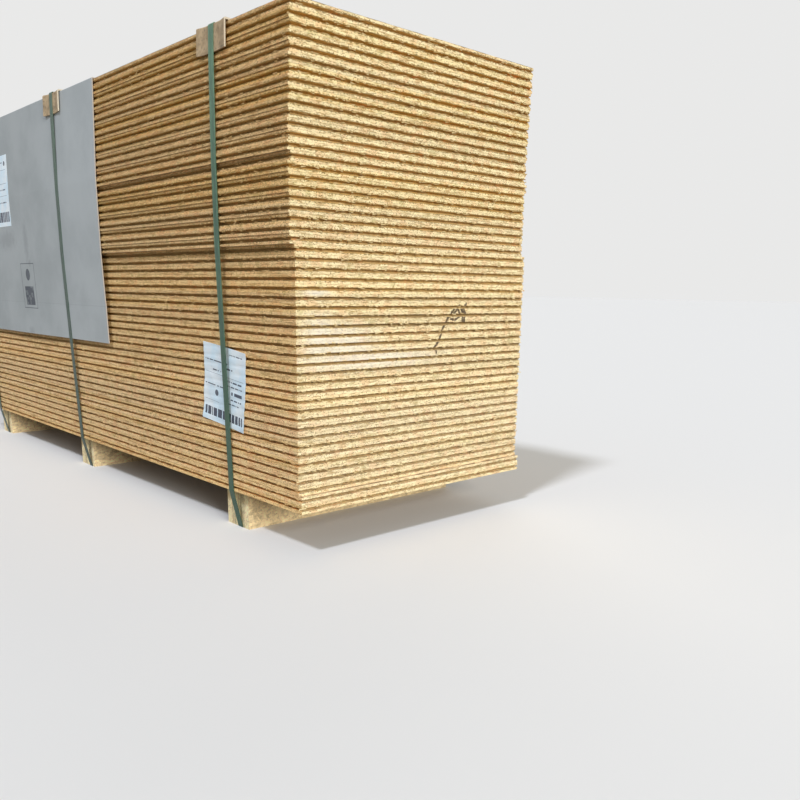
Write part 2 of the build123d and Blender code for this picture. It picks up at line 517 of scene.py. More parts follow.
# %% [markdown]
# One finish has to know where on its board a point lies. It could be told by a map painted on each
# board, but 52 boards would need 52 maps. The boards are stacked at an even pitch, so the height
# alone tells the board's number and how far up in the board the point is. A surface that looks up
# or down near a board's upper or lower side is a face, and all else is a sawn edge, a groove or a
# tongue. The number shifts the board's pattern, tone and colour a little.

# %% Where a point lies on its board
PITCH_MARGIN = 0.01 * MM
SLOPE = 0.5
FACE_FROM_MIDDLE = 0.45


def spot_on_board(place, normal, pitch, seed):
    """Where a point lies on its board, as shares of the pitch, and which way it looks."""
    x, y, z = parts(place)
    normal_x, normal_y, normal_z = parts(normal)
    count = (z - PITCH_MARGIN) / pitch
    share = calc("FRACT", count)
    from_middle = abs(share - 0.5)
    short_side = abs(normal_x) > abs(normal_y)
    return SimpleNamespace(
        x=x, y=y, z=z, share=share, from_middle=from_middle, number=calc("FLOOR", count) + seed,
        looks_down=normal_z < -SLOPE, looks_up=normal_z > SLOPE, short_side=short_side,
        on_face=(abs(normal_z) > SLOPE) * (from_middle > FACE_FROM_MIDDLE),
        along=mix(short_side, x, y))


# %% [markdown]
# The sawn edge is pale, with a little pink and olive in it. The long side has a tint of its own on
# top, which is lighter low down, and darker and browner high up and away from the near end. That
# lighter and darker is painted light and shade. The tint could be a material of its own, but
# multiplied over the edge's colour it keeps every strand below it.

# %% Edge colours
EDGE_DARK, EDGE_PALE = (0.56, 0.375, 0.16, 1), (1.0, 0.83, 0.475, 1)
EDGE_PINK, EDGE_OLIVE = (0.95, 0.69, 0.375, 1), (0.70, 0.58, 0.28, 1)
GAP_COLOUR = (0.26, 0.14, 0.045, 1)
LONG_SIDE_LOW, LONG_SIDE_HIGH = (1.07, 0.885, 0.67, 1), (0.885, 0.72, 0.57, 1)
LONG_SIDE_HEIGHTS = (0.1, 0.8)
# Painted shade: the long side grows darker away from the near end.
FAR_SHADE_FROM, FAR_SHADE_TO, FAR_SHADE_VALUES = near_end - 0.80, near_end - 0.10, (0.93, 1.06)
PINK_RANGE, OLIVE_RANGE, OLIVE_SHARE, TONE_RANGE = (0.47, 0.66), (0.30, 0.42), 0.8, (0.05, 0.55)
CORE_HALF, CORE_MARGIN = 0.17, 0.02
STREAK_ALONG, STREAK_ACROSS = 48 * MM, 15 * MM


def long_side_tint_and_shade(x, height):
    """The tint of the long side, with painted light low down and painted shade high up and far off."""
    tint = blend(remap(height, *LONG_SIDE_HEIGHTS), LONG_SIDE_LOW, LONG_SIDE_HIGH)
    return scaled(tint, remap(x, FAR_SHADE_FROM, FAR_SHADE_TO, *FAR_SHADE_VALUES))


def sawn_edge(spot, hue, seed):
    """The colour of a sawn edge and its strands. The core's strands lie across the lips'."""
    in_core = spot.from_middle < CORE_HALF + CORE_MARGIN
    length = mix(abs(spot.short_side - in_core), STREAK_ALONG, STREAK_ACROSS)
    edge = use_group(EDGE_STRANDS, {"Along": spot.along, "Up": spot.z, "Length": length, "Seed": seed})
    pale = blend(remap(hue, *PINK_RANGE), EDGE_PALE, EDGE_PINK)
    pale = blend(remap(hue, *OLIVE_RANGE, OLIVE_SHARE, 0.0), pale, EDGE_OLIVE)
    colour = blend(remap(edge["Tone"], *TONE_RANGE), EDGE_DARK, pale)
    return blend(edge["Gap"], colour, GAP_COLOUR), edge


# %% [markdown]
# The cutter that makes a groove chips the lips beside it, and there the browner core shows. The
# chips are deeper higher up. The light that reaches into so narrow a groove differs from wall to
# wall, so the walls are also painted lighter or darker, by the way they look, by the side of the
# board and by the height.

# %% Core and chipped lips
CORE_COLOUR, CORE_RED, RED_RANGE = (0.42, 0.275, 0.09, 1), (0.52, 0.275, 0.095, 1), (0.60, 0.78)
MOUTH_HALF, MOUTH_SATURATION = 0.18, 0.97
TEAR_AND_LIGHT_HEIGHTS = (0.30, 0.62)
CHIP_LOW, CHIP_HIGH, RUBBED_HIGH = 0.06, 0.12, 0.035
CHIPS_ALONG, CHIPS_BY_MOUTH, CHIP_RANGE, CHIP_RIM = 190.0, 7.4, (0.42, 0.66), (-0.02, 0.015)
LEDGE_HEIGHTS, LEDGE_SHARES, LEDGE_CHIPPED = (0.40, 0.60), (1.0, 0.4), 0.1
WALL_VALUES = SimpleNamespace(  # short_back is low down and high up, the pairs after it long side and short
    long_back=1.2, short_back=(0.76, 1.6), ceiling=(1.7, 1.6), fringe=(0.85, 0.6))


def chipped_away(spot):
    """1 where a lip is chipped or rubbed beside the groove. A ledge that looks up is spared low down."""
    mouth = (spot.share > 0.5) * 0.5 + spot.number
    chips = noise_at(vector_of(spot.along * CHIPS_ALONG, mouth * CHIPS_BY_MOUTH), detail=3.0,
                     roughness=0.75, flat=True)
    depth = remap(spot.z, *TEAR_AND_LIGHT_HEIGHTS, CHIP_LOW, CHIP_HIGH)
    rubbed = remap(spot.z, *TEAR_AND_LIGHT_HEIGHTS, CORE_HALF, CORE_HALF + RUBBED_HIGH)
    edge = remap(chips, *CHIP_RANGE) * depth + rubbed
    ledge = spot.looks_up * remap(spot.z, *LEDGE_HEIGHTS, *LEDGE_SHARES)
    return remap(edge - spot.from_middle, *CHIP_RIM) * mix(ledge, 1.0, LEDGE_CHIPPED)


def core_colour(spot, hue):
    """The core's colour, by the wall of the groove and by the side of the board."""
    colour = blend(remap(hue, *RED_RANGE), CORE_COLOUR, CORE_RED)
    in_mouth = spot.from_middle < MOUTH_HALF
    # Painted light: the short side's back wall is lighter high up.
    short_back = remap(spot.z, *TEAR_AND_LIGHT_HEIGHTS, *WALL_VALUES.short_back)
    back = mix(spot.short_side, WALL_VALUES.long_back, short_back)
    wall = mix(spot.looks_down, back, mix(spot.short_side, *WALL_VALUES.ceiling))
    value = mix(in_mouth, mix(spot.short_side, *WALL_VALUES.fringe), wall)
    return shade(colour, value, mix(in_mouth, 1.0, MOUTH_SATURATION))


# %% [markdown]
# The board finish puts all of this together in one group. The panels and the bearers both use it,
# with other sizes of strand. A fine speck on the sawn edges stands for single fibres.

# %% Board finish
FACE_DARK, FACE_PALE = (0.27, 0.155, 0.066, 1), (0.70, 0.50, 0.265, 1)
BOARD_SHIFT = 57.0
HUE_SCALE, SPECK_SCALE, SPECK_RANGE, CHIPPED_SHARE = 38.0, 450.0, (0.3, 0.7), 0.9
SPECK_LONG_SIDE, SPECK_SHORT_SIDE, SPECK_LIGHT = 0.76, 0.86, 1.14
BOARD_VALUES, BOARD_SATURATIONS = (0.91, 1.05), (0.96, 1.06)
EDGE_ROUGHNESS, FACE_ROUGHNESS = 0.85, 0.6


def board_finish():
    """Colour and relief of strand board. Z of Place is the way the boards are stacked."""
    entry = open_group("board_finish", {
        "Place": "Vector", "Normal": "Vector", "Pitch": "Float", "Seed": "Float", "Core": "Float",
        "Strand length": "Float", "Strand width": "Float"})
    spot = spot_on_board(entry["Place"], entry["Normal"], entry["Pitch"], entry["Seed"])
    first, second, third = draws_for(spot.number)
    seed = first * BOARD_SHIFT
    hue = noise_at(entry["Place"], HUE_SCALE)
    colour, edge = sawn_edge(spot, hue, seed)
    long_side = (1.0 - spot.short_side) * entry["Core"]
    colour = blend(long_side, colour, long_side_tint_and_shade(spot.x, spot.z), kind="MULTIPLY")
    colour = blend(chipped_away(spot) * entry["Core"] * CHIPPED_SHARE, colour, core_colour(spot, hue))
    face = use_group(FACE_STRANDS, {
        "Along": spot.x, "Across": spot.y, "Length": entry["Strand length"],
        "Width": entry["Strand width"], "Seed": seed})
    colour = blend(spot.on_face, colour, blend(face["Tone"], FACE_DARK, FACE_PALE))
    speck_dark = mix(spot.short_side, SPECK_LONG_SIDE, SPECK_SHORT_SIDE)
    speck = noise_at(entry["Place"], SPECK_SCALE, detail=1.0)
    speck = remap(speck, *SPECK_RANGE, speck_dark, SPECK_LIGHT)
    value = mix(second, *BOARD_VALUES) * mix(spot.on_face, speck, 1.0)
    return close_group({
        "Color": shade(colour, value, mix(third, *BOARD_SATURATIONS)),
        "Height": mix(spot.on_face, edge["Tone"] - edge["Gap"], face["Height"]),
        "Roughness": mix(spot.on_face, EDGE_ROUGHNESS, FACE_ROUGHNESS)})


BOARD_FINISH = board_finish()

# %% [markdown]
# The pack has been handled. Pale dust was rubbed on the short face near its corner, and the cover
# has dark smudges. They could be painted by hand, but a painted picture isn't sharp at every size.
# Each is a soft ellipse, broken up by noise, and the strongest one counts. Board and cover share
# the group.

# %% Soft spots


def soft_spot():
    """1 inside a soft ellipse on flat coordinates."""
    entry = open_group("soft_spot", {
        "Place": "Vector", "Middle": "Vector", "Half size": "Vector", "Broken": "Float",
        "Outside": "Float", "Inside": "Float"})
    reach = calc("LENGTH", (entry["Place"] - entry["Middle"]) / entry["Half size"])
    return close_group({"Mask": remap(entry["Broken"] - reach, entry["Outside"], entry["Inside"])})


SOFT_SPOT = soft_spot()


def soft_spots(place, broken, outside, inside, spots):
    """The strongest of several soft ellipses, given by their middles and half sizes in mm."""
    mask = 0.0
    for across, up, half_across, half_up in spots:
        spot = use_group(SOFT_SPOT, {
            "Place": place, "Middle": (across * MM, up * MM, 0),
            "Half size": (half_across * MM, half_up * MM, 1), "Broken": broken,
            "Outside": outside, "Inside": inside})
        mask = calc("MAXIMUM", mask, spot["Mask"])
    return mask


# %% [markdown]
# Somebody drew a hooked stroke on the short face with a dark crayon. The stroke is the nearest
# distance to chains of short lines, with a ragged rim. It only marked the lips, because the
# grooves lie too deep.

# %% Crayon stroke
CRAYON_STROKES = [  # half width, then the points across and up from the near bottom corner, in mm
    (3.0, [(381, 306), (374, 317), (390, 333), (396, 352), (404, 366), (420, 386), (437, 402),
           (452, 408), (462, 398), (474, 412)]),
    (2.6, [(422, 384), (436, 392), (446, 401), (458, 386), (438, 377), (424, 379)]),
    (6.0, [(462, 400), (469, 390), (466, 373)])]
RAGGED_SCALE, RAGGED_REACH, STROKE_RIM = 160.0, 6 * MM, 0.6 * MM
PATCH_RANGE, PATCH_SHARES = (0.3, 0.5), (0.6, 0.92)


def stroke_part():
    """1 within a half width of the line between two points."""
    entry = open_group("stroke_part", {
        "Place": "Vector", "Start": "Vector", "Finish": "Vector", "Half width": "Float"})
    run = entry["Finish"] - entry["Start"]
    away = entry["Place"] - entry["Start"]
    share = held(calc("DOT_PRODUCT", away, run) / calc("DOT_PRODUCT", run, run))
    gap = calc("DISTANCE", away, scaled(run, share))
    return close_group({"Mask": remap(entry["Half width"] - gap, -STROKE_RIM, STROKE_RIM)})


STROKE_PART = stroke_part()


def crayon_mask(place):
    """The whole stroke, for coordinates across and up from the near corner."""
    ragged = noise_at(place, RAGGED_SCALE, output="Color")
    nudged = place + scaled(ragged, RAGGED_REACH) + (-RAGGED_REACH / 2,) * 3
    flat = nudged * (1, 1, 0)
    mask = 0.0
    for half, points in CRAYON_STROKES:
        for start, finish in zip(points, points[1:]):
            part = use_group(STROKE_PART, {
                "Place": flat, "Start": (start[0] * MM, start[1] * MM, 0),
                "Finish": (finish[0] * MM, finish[1] * MM, 0), "Half width": half * MM})
            mask = calc("MAXIMUM", mask, part["Mask"])
    return mask * remap(parts(ragged)[0], *PATCH_RANGE, *PATCH_SHARES)


# %% [markdown]
# Now the 52 panels get their material. It places the board finish at the deck's height, makes the
# upper lots a little browner than the lower one, paints light low down and shade high up, and lays
# dust and crayon on the lips.

# %% Panels
PANEL_STRAND = (95 * MM, 20 * MM)
PANEL_SEED, PANEL_RELIEF = 3.0, 0.35 * MM
LOT_HEIGHTS, LOT_SHADE_VALUES, LOT_SATURATIONS = (0.22, 0.80), (1.03, 0.98), (0.95, 1.04)
DUST_COLOUR, CRAYON_COLOUR = (0.97, 0.92, 0.79, 1), (0.050, 0.026, 0.014, 1)
DUST_SHARE, DUST_RIM = 0.66, (-0.3, 1.0)
DUST_SPOTS = [  # across and up from the near bottom corner, and half sizes, in mm
    (58, 345, 50, 62), (190, 300, 240, 24), (50, 433, 42, 8), (110, 335, 110, 46)]
MARK_DEPTH = 5 * MM


def panel_material():
    """Strand board for the stacked panels, with the marks of handling on the short face."""
    material, tree, shader = new_material("panel_board")
    place, normal = place_of(tree), normal_of(tree)
    board = use_group(BOARD_FINISH, {
        "Place": place + (0, 0, -deck), "Normal": normal, "Pitch": PITCH, "Seed": PANEL_SEED,
        "Core": 1.0, "Strand length": PANEL_STRAND[0], "Strand width": PANEL_STRAND[1]})
    x, y, z = parts(place)
    height = z - deck
    # Painted light low down and painted shade high up. The upper lots are also browner.
    colour = shade(board["Color"], remap(height, *LOT_HEIGHTS, *LOT_SHADE_VALUES),
                   remap(height, *LOT_HEIGHTS, *LOT_SATURATIONS))
    on_lips = (parts(normal)[0] > SLOPE) * (x > near_end - MARK_DEPTH)
    from_corner = vector_of(y - front_face, height)
    broken = noise_at(from_corner, 60.0, detail=7.0, roughness=0.75) * 1.1 + 0.45
    dust = soft_spots(from_corner, broken, *DUST_RIM, DUST_SPOTS) * DUST_SHARE
    colour = blend(dust * on_lips, colour, DUST_COLOUR)
    colour = blend(crayon_mask(from_corner) * on_lips, colour, CRAYON_COLOUR)
    put(board["Roughness"], shader.inputs["Roughness"])
    paint(shader, colour, board["Height"], PANEL_RELIEF)
    return material


dress(PANELS, panel_material())

# %% [markdown]
# A bearer is the same board, cut in strips and glued face to face, with the strips on edge. A
# second finish isn't needed: the strips are stacked along X, so the axes change places before the
# group is used. Every other strip is darker on its sawn edges. All the faces, which are the sides
# that look along X, are lightened alike with painted light, so that they look bright below the boards.

# %% Bearers
STRIPS_IN_BEARER = 5
BEARER_PALE, BEARER_PALE_SHARE = (1.0, 0.86, 0.50, 1), 0.34
BEARER_STRAND = (24 * MM, 6 * MM)
STRIP_VALUES, STRIP_FACE_LIGHT = (1.22, 0.95), 1.55
MOTTLE_RANGE, MOTTLE_VALUES = (0.34, 0.62), (0.74, 1.12)
BEARER_SEED, BEARER_SEED_STEP, BEARER_RELIEF = 20.0, 9, 0.3 * MM


def bearer_material(name, seed):
    """Strand board strips on edge, counted from the bearer's own lower X."""
    material, tree, shader = new_material(name + "_board")
    low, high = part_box(name)
    strip = (high.x - low.x) / STRIPS_IN_BEARER
    place = place_of(tree) + (-low.x, 0, 0)
    x, y, z = parts(place)
    normal_x, normal_y, normal_z = parts(normal_of(tree))
    board = use_group(BOARD_FINISH, {
        "Place": vector_of(y, z, x), "Normal": vector_of(normal_y, normal_z, normal_x),
        "Pitch": strip, "Seed": seed, "Core": 0.0, "Strand length": BEARER_STRAND[0],
        "Strand width": BEARER_STRAND[1]})
    strip_value = mix(calc("FRACT", x / (2 * strip)) > 0.5, *STRIP_VALUES)
    # Painted light on the sides that look along X, which lie below the overhanging boards.
    value = mix(abs(normal_x) > SLOPE, strip_value, STRIP_FACE_LIGHT)
    mottle = noise_at(place, 120.0, detail=5.0, roughness=0.7)
    colour = shade(blend(BEARER_PALE_SHARE, board["Color"], BEARER_PALE),
                   value * remap(mottle, *MOTTLE_RANGE, *MOTTLE_VALUES))
    put(board["Roughness"], shader.inputs["Roughness"])
    paint(shader, colour, board["Height"], BEARER_RELIEF)
    return material


for order, name in enumerate(BEARERS):
    dress([name], bearer_material(name, BEARER_SEED + BEARER_SEED_STEP * order))

# %% [markdown]
# The strap is green polyester band, rolled with a fine waffle so that it doesn't slip. The waffle
# could be cut into the mesh, but that takes many faces for so low a relief, so it is a bump of two
# crossed waves. Across the band they follow X, and along it they follow whichever of Y and Z the
# band runs in, so both are simply added. The band has pale scuffs, and a painted sheen makes it
# paler on its rims, high up and on the tops of the waffle. Painted shade makes it darker low down,
# and makes the two straps that are farther off darker.

# %% Straps
STRAP_DEEP, STRAP_SCUFFED_AND_LIT = (0.022, 0.088, 0.045, 1), (0.20, 0.38, 0.22, 1)
FAR_STRAP_SHADE, FAR_STRAP_FROM = (0.52, 0.50, 0.56, 1), 0.1
STRAP_HALF = 7 * MM
WAFFLE_PITCH, WAFFLE_DEPTH = 4.2 * MM, 0.35 * MM
SCUFFS_ACROSS, SCUFFS_ALONG, SCUFF_SWING, SCUFF_BASE = 260.0, 22.0, 2.1, 1.0
HIGH_SHEEN_FROM, HIGH_SHEEN = deck + 0.55, 0.6
LOW_SHADE_HEIGHTS, LOW_SHADE = (deck + 0.15, deck + 0.50), -0.5
RIM_FROM, RIM_TO, RIM_SHEEN = 0.5 * STRAP_HALF, 0.95 * STRAP_HALF, 0.35
strap_lines = [(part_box(name)[0].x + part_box(name)[1].x) / 2 for name in STRAPS]


def strap_wear_and_sheen(x, z, scuff, waffle):
    """How pale: scuffs, painted sheen on rims, high up and on waffle tops, painted shade low down."""
    rim = 1.0
    for line in strap_lines:
        rim = calc("MINIMUM", rim, abs(x - line))
    worn_and_lit = scuff * SCUFF_SWING - SCUFF_BASE
    # Painted sheen high up, painted shade low down, and painted sheen on the rims and waffle tops.
    worn_and_lit = worn_and_lit + remap(z, HIGH_SHEEN_FROM, top, 0.0, HIGH_SHEEN)
    worn_and_lit = worn_and_lit + remap(z, *LOW_SHADE_HEIGHTS, LOW_SHADE, 0.0)
    worn_and_lit = worn_and_lit + remap(rim, RIM_FROM, RIM_TO, 0.0, RIM_SHEEN)
    return held(worn_and_lit * remap(waffle, -0.6, 0.8, 0.35, 1.0))


def strap_material():
    """Green band with a waffle, pale scuffs, painted sheen and painted shade."""
    material, tree, shader = new_material("strap_band", specular=0.6)
    x, y, z = parts(place_of(tree))
    run = y + z
    turns = 2 * math.pi / WAFFLE_PITCH
    waffle = calc("SINE", (x + run) * turns) * calc("SINE", (x - run) * turns)
    scuff = noise_at(vector_of(x * SCUFFS_ACROSS, run * SCUFFS_ALONG), detail=5.0, roughness=0.65, flat=True)
    colour = blend(strap_wear_and_sheen(x, z, scuff, waffle), STRAP_DEEP, STRAP_SCUFFED_AND_LIT)
    # Painted shade on the two straps that are farther off.
    colour = blend(x < strap_lines[0] - FAR_STRAP_FROM, colour, FAR_STRAP_SHADE, kind="MULTIPLY")
    put(remap(scuff, 0.3, 0.8, 0.28, 0.5), shader.inputs["Roughness"])
    paint(shader, colour, waffle, WAFFLE_DEPTH)
    return material


dress(STRAPS, strap_material())

# %% [markdown]
# The thin pieces start as copies of their frame nodes, cut into small faces so that they can bend.
# A remesh would round their edges and change their thickness. A cut by evenly spaced planes keeps
# both exactly. A copy's loose triangles are merged before it is cut.

# %% Sliced copies


def sliced_copy(node, spacing):
    """A copy of a node, merged and cut every so many metres along X, Y and Z, as a bmesh."""
    shape = bmesh.new()
    shape.from_mesh(nodes[node].data)
    bmesh.ops.remove_doubles(shape, verts=shape.verts, dist=1e-6)
    bmesh.ops.dissolve_limit(shape, angle_limit=math.radians(0.5), verts=shape.verts, edges=shape.edges)
    low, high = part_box(node)
    for axis, apart in enumerate(spacing):
        if not apart:
            continue
        count = max(1, round((high[axis] - low[axis]) / apart))
        for cut in range(1, count):
            place = Vector((0, 0, 0))
            place[axis] = low[axis] + (high[axis] - low[axis]) * cut / count
            across = Vector((0, 0, 0))
            across[axis] = 1
            bmesh.ops.bisect_plane(shape, geom=shape.verts[:] + shape.edges[:] + shape.faces[:],
                                   plane_co=place, plane_no=across)
    return shape


def mesh_of(shape, name):
    """A bmesh as a plain mesh."""
    mesh = bpy.data.meshes.new(name)
    shape.to_mesh(mesh)
    shape.free()
    return mesh


def add_piece(name, mesh, node=None):
    """A finished mesh as a piece on the body, which may stand for a node."""
    piece = new_object(name, mesh)
    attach(piece, "root")
    if node:
        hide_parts(node)
    print(name, len(mesh.polygons), "faces")


def finish_copy(shape, name, node, material):
    """The bent copy as a piece that stands for its node, held inside the whole frame's box."""
    for vert in shape.verts:
        vert.co = [min(max(c, low), high) for c, low, high in zip(vert.co, *cad_box)]
    bmesh.ops.triangulate(shape, faces=[f for f in shape.faces if len(f.verts) > 4])
    bmesh.ops.recalc_face_normals(shape, faces=shape.faces)
    mesh = mesh_of(shape, name)
    mesh.materials.append(material)
    add_piece(name, mesh, node)


# %% [markdown]
# The cover is a folded sheet of white-lined board. It hangs between the straps that pinch it, so
# it stands off a little wherever nothing holds it: near its free edges and half way between two
# straps. A cloth simulation could find that shape, but board is stiff and the bulge is only a few
# millimetres, so a formula is enough. It is a function of its own, because the label that is stuck
# on the cover has to follow it.

# %% Cover bulge
SHEET_BULGE, EDGE_BULGE, PINCH_REACH, FOLD_REACH = 1.6 * MM, 2.0 * MM, 130 * MM, 90 * MM
HEM_REACH, SIDE_REACH = 45 * MM, 35 * MM
CREASE_HEIGHT, CREASE_DEPTH, CREASE_HALF = deck + 388 * MM, 0.8 * MM, 5 * MM
SIDE_FROM_MIDDLE, SIDE_BLEND = 0.30, 0.03


def sheet_bulge(point):
    """How far the cover stands off at a point of one of its hanging sides."""
    pinch = min(abs(point.x - line) for line in strap_lines)
    loose = 1 - math.exp(-(pinch / PINCH_REACH) ** 2)
    below_fold = max(0.0, top - point.z)
    free = 1 - math.exp(-(below_fold / FOLD_REACH) ** 2)
    slow = noise.noise(Vector((point.x * 3.1, point.y * 2.0, point.z * 2.3)))
    quick = noise.noise(Vector((point.x * 9.0, point.y * 5.0, point.z * 6.0)))
    bulge = SHEET_BULGE * (0.6 + 0.8 * slow + 0.25 * quick)
    hem = math.exp(-((point.z - sheet_low.z) / HEM_REACH) ** 2)
    side = math.exp(-((sheet_high.x - point.x) / SIDE_REACH) ** 2)
    bulge += EDGE_BULGE * (0.7 * hem + 0.8 * side * hem) * (0.6 + slow)
    crease = max(0.0, 1 - abs(point.z - CREASE_HEIGHT) / CREASE_HALF)
    return max(0.0, bulge * loose * free) - CREASE_DEPTH * crease * min(1.0, bulge / MM)


def push_out(shape):
    """Points on the two hanging sides moved outwards by the bulge."""
    for vert in shape.verts:
        outward = math.copysign(1.0, vert.co.y)
        hanging = min(1.0, max(0.0, (abs(vert.co.y) - SIDE_FROM_MIDDLE) / SIDE_BLEND))
        vert.co.y += outward * sheet_bulge(vert.co) * hanging


middle_between = Vector(((strap_lines[1] + strap_lines[2]) / 2, front_face, (sheet_low.z + top) / 2))
print("bulge half way between two straps", round(sheet_bulge(middle_between) / MM, 2), "mm")

# %% [markdown]
# The cover has a print place, which holds only plain shapes: a ruled frame, a disc and a block of
# squares. An image texture could hold them, but shapes worked out from the place on the sheet stay
# sharp close up.

# %% Plain print
PRINT_LOW, PRINT_HIGH = (-420 * MM, 457 * MM), (-306 * MM, 592 * MM)
PRINT_LINE, PRINT_SQUARE = 2.4 * MM, (8 * MM, 7 * MM)
DISC_DROP, DISC_RADIUS, DISC_RIM = 34 * MM, 17.5 * MM, 0.5 * MM
BLOCK_INSET, BLOCK_BOTTOM, BLOCK_TOP = 20 * MM, 10 * MM, 66 * MM


def plain_bars(along, bar, share, seed):
    """Random upright bars of one print colour."""
    cell = calc("FLOOR", along / bar) + seed
    draw = add(along.tree, "ShaderNodeTexWhiteNoise", {"W": cell}, noise_dimensions="1D")
    return Field(draw.outputs["Value"]) < share


def print_place(x, z):
    """A plain ruled frame, with a disc above and a block of plain squares below."""
    (left, bottom), (right, upper) = PRINT_LOW, PRINT_HIGH
    outside = window(x, left, right) * window(z, bottom, upper)
    inside = (window(x, left + PRINT_LINE, right - PRINT_LINE)
              * window(z, bottom + PRINT_LINE, upper - PRINT_LINE))
    away = calc("DISTANCE", vector_of(x, z), ((left + right) / 2, upper - DISC_DROP, 0))
    disc = remap(away, DISC_RADIUS - DISC_RIM, DISC_RADIUS + DISC_RIM, 1.0, 0.0) * 0.9
    squares = vector_of(calc("FLOOR", x / PRINT_SQUARE[0]), calc("FLOOR", z / PRINT_SQUARE[1]))
    draw = add(x.tree, "ShaderNodeTexWhiteNoise", {"Vector": squares}, noise_dimensions="2D")
    block = (window(x, left + BLOCK_INSET, right - BLOCK_INSET)
             * window(z, bottom + BLOCK_BOTTOM, bottom + BLOCK_TOP)
             * remap(Field(draw.outputs["Value"]), 0.35, 0.40, 0.7, 1.0))
    return calc("MAXIMUM", calc("MAXIMUM", (outside - inside) * 0.85, disc), block)


# %% [markdown]
# The cover's finish is a matt grey-white coating with slow clouding, upright bands from the
# rollers, fine fibres and a few rubbed smudges. It is darker away from its near edge, and a thin
# dark line runs along its crease; both are painted shade. A browner raw core shows on the cut
# edges.

# %% Cover
SHEET_COLOUR, SHEET_DULL_AND_SHADE = (0.46, 0.49, 0.48, 1), (0.36, 0.385, 0.375, 1)
SHEET_CORE, SMUDGE_AND_SHADE_COLOUR = (0.47, 0.42, 0.36, 1), (0.15, 0.155, 0.165, 1)
PRINT_COLOUR = (0.06, 0.07, 0.085, 1)
CLOUD_SHARE, BAND_SHARE, FAR_SHADE_SHARE = 0.35, 0.08, 0.6
BANDS_ALONG, BANDS_UP = 11.0, 2.6
SHADE_AWAY_FROM, SHADE_AWAY_TO = sheet_high.x - 0.55, sheet_high.x - 0.1
SMUDGE_SHARE, SMUDGE_RIM, CREASE_SHADE_SHARE, FIBRE_SHARE = 0.34, (-0.2, 0.8), 0.16, 0.16
CREASE_BELOW, CREASE_ABOVE = 1.4 * MM, 0.4 * MM
SMUDGE_SPOTS = [  # x, z and half sizes in mm, on the front of the sheet
    (-352, 655, 22, 66), (-338, 592, 14, 14), (-378, 388, 26, 16), (-520, 665, 100, 34),
    (-600, 985, 80, 34)]


def cut_rims(tree):
    """1 on the sheet's cut rims: its two ends in X and its two lower rims."""
    normal_x, normal_z = parts(normal_of(tree), "XZ")
    return calc("MAXIMUM", abs(normal_x) > 0.8, normal_z < -0.8)


def cover_material():
    """White-lined board, rubbed and a little dirty, with painted shade far off and on the crease."""
    material, tree, shader = new_material("cover_lining")
    place = place_of(tree)
    x, y, z = parts(place)
    cloud = noise_at(place, 6.5, detail=5.0, roughness=0.6)
    bands = noise_at(vector_of(x * BANDS_ALONG, z * BANDS_UP), flat=True)
    dull_and_shade = remap(cloud, 0.38, 0.66) * CLOUD_SHARE + remap(bands, 0.4, 0.7) * BAND_SHARE
    # Painted shade: darker away from the near edge.
    dull_and_shade = held(dull_and_shade + remap(x, SHADE_AWAY_FROM, SHADE_AWAY_TO, FAR_SHADE_SHARE, 0.0))
    colour = blend(dull_and_shade, SHEET_COLOUR, SHEET_DULL_AND_SHADE)
    fibre = noise_at(place, 420.0, detail=3.0)
    colour = blend(remap(fibre, 0.6, 0.8, 0.0, FIBRE_SHARE), colour, SMUDGE_AND_SHADE_COLOUR)
    on_front = y < 0.0
    broken = noise_at(place, 60.0, detail=4.0) * 1.2 + 0.4
    smudge = soft_spots(vector_of(x, z), broken, *SMUDGE_RIM, SMUDGE_SPOTS) * SMUDGE_SHARE
    colour = blend(smudge * on_front, colour, SMUDGE_AND_SHADE_COLOUR)
    # Painted shade: a thin dark line along the crease.
    crease = window(z, CREASE_HEIGHT - CREASE_BELOW, CREASE_HEIGHT + CREASE_ABOVE)
    colour = blend(crease * CREASE_SHADE_SHARE, colour, SMUDGE_AND_SHADE_COLOUR)
    colour = blend(print_place(x, z) * on_front, colour, PRINT_COLOUR)
    colour = blend(cut_rims(tree), colour, SHEET_CORE)
    put(remap(cloud, 0.3, 0.7, 0.5, 0.66), shader.inputs["Roughness"])
    paint(shader, colour, fibre * 0.3 + bands, 0.25 * MM, strength=0.5)
    return material


cover = sliced_copy("cover_sheet", (16 * MM, 30 * MM, 12 * MM))
push_out(cover)
finish_copy(cover, "folded_cover", "cover_sheet", cover_material())

# %% [markdown]
# The edge protectors are short lengths of solid board angle. The strap pulls their middle into
# the corner, and the ends spring out. In the frame the ends are straight ramps. A Bend modifier
# would turn the whole angle, so each point is moved by a power curve instead, which eases the ramp
# out of the flat middle, and a little noise crumples it. The board is made of many thin layers,
# which show on the cut ends.

# %% Edge protectors
FLAT_HALF, PROTECTOR_HALF = 12 * MM, 53 * MM
FLARE, LIFT, CRUMPLE, FLARE_POWER = 3.0 * MM, 1.0 * MM, 0.35 * MM, 2.2
ANGLE_PALE, ANGLE_BROWN = (0.56, 0.41, 0.235, 1), (0.38, 0.27, 0.15, 1)
DAMP_COLOUR, DAMP_SHARE = (0.15, 0.12, 0.08, 1), 0.6
LAYER_DARK, LAYER_PALE = (0.50, 0.42, 0.30, 1), (0.72, 0.64, 0.50, 1)
LAYERS_PER_METRE = 9000.0


